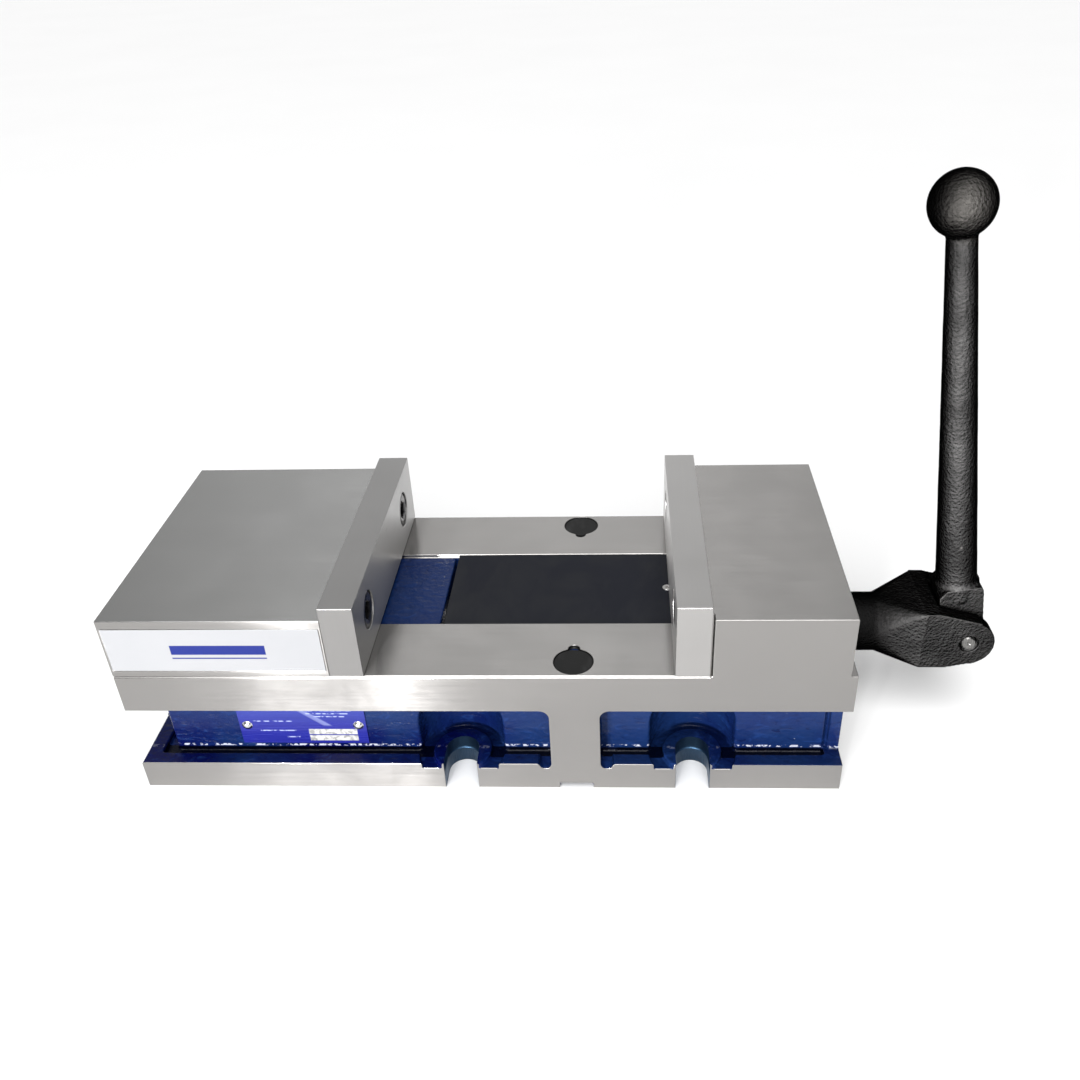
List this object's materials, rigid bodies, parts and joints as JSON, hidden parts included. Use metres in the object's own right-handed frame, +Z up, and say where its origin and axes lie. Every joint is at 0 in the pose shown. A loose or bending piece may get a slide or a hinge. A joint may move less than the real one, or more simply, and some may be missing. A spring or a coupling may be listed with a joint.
{
  "type": "machine vise",
  "caption": "Angle-lock machine vise with a ground bed, fixed and sliding jaws, a screw under the fixed jaw and a folding ball-end crank.",
  "frame": {"origin": "middle of the body's ground base", "axes": "+X along the vise from the movable jaw to the crank, -Y the front side, +Z up"},
  "size_m": [0.4536, 0.1524, 0.294],
  "materials": {
    "cast_body": "gloss blue enamel with ground steel-grey bed, rails and base edges",
    "ground_steel": "surface-ground",
    "blue_enamel": "gloss enamel over casting",
    "black_oxide": "black oxide",
    "forged_black": "blackened forging with a sandy grain",
    "bright_steel": "turned",
    "bearing_steel": "ground and hardened",
    "screw_steel": "turned and oiled",
    "cage_brass": "satin",
    "seal_rubber": "matt",
    "plug_plastic": "moulded",
    "guard_steel": "dark satin sheet steel",
    "data_plate": "anodised foil, blank lines only",
    "label": "gloss film, plain stripe only"
  },
  "bodies": {
    "base": {"body": "cast_body", "bed_plugs": "plug_plastic", "data_plate": "data_plate", "data_plate_rivets": "bright_steel", "fixed_jaw_plate": "ground_steel", "fixed_plate_screws": "black_oxide", "inner_thrust_washer": "bearing_steel", "bearing_cap": "black_oxide", "screw_seal": "seal_rubber"},
    "jaw": {"movable_jaw": "ground_steel", "movable_jaw_plate": "ground_steel", "movable_plate_screws": "black_oxide", "jaw_side_label": "label", "jaw_set_screw": "black_oxide", "angle_segment": "bearing_steel", "segment_o_ring": "seal_rubber", "nut_carriage": "blue_enamel"},
    "spindle": {"lead_screw": "screw_steel", "stop_collar": "black_oxide", "stop_collar_pin": "bearing_steel", "outer_thrust_washer": "bearing_steel"},
    "needle_bearing": {"needle_cage": "cage_brass", "thrust_needles": "bearing_steel"},
    "guard": {"chip_guard": "guard_steel", "guard_screw": "bright_steel"},
    "socket": {"handle_socket": "forged_black", "handle_pivot_pin": "bright_steel"},
    "lever": {"handle_lever": "forged_black"}
  },
  "joints": [
    {"name": "jaw_slide", "type": "slide", "parent": "base", "child": "jaw", "axis": [1, 0, 0], "range_m": [0, 0.1524]},
    {"name": "screw_turn", "type": "hinge", "parent": "base", "child": "spindle", "pos_m": [0.1, 0, 0.0521], "axis": [1, 0, 0], "range_deg": [-10801, 1]},
    {"name": "bearing_turn", "type": "hinge", "parent": "base", "child": "needle_bearing", "pos_m": [0.162, 0, 0.0521], "axis": [1, 0, 0], "range_deg": [-5401, 1]},
    {"name": "guard_slide", "type": "slide", "parent": "base", "child": "guard", "axis": [1, 0, 0], "range_m": [0, 0.057]},
    {"name": "handle_pull", "type": "slide", "parent": "spindle", "child": "socket", "axis": [1, 0, 0], "range_m": [0, 0.02]},
    {"name": "handle_fold", "type": "hinge", "parent": "socket", "child": "lever", "pos_m": [0.2553, 0, 0.0521], "axis": [0, 1, 0], "range_deg": [0, 105]}
  ],
  "couplings": [
    {"joint": "screw_turn", "follows": "jaw_slide", "rad_per_m": -1236.8},
    {"joint": "bearing_turn", "follows": "jaw_slide", "rad_per_m": -618.42},
    {"joint": "guard_slide", "follows": "jaw_slide", "ratio": 0.372}
  ]
}
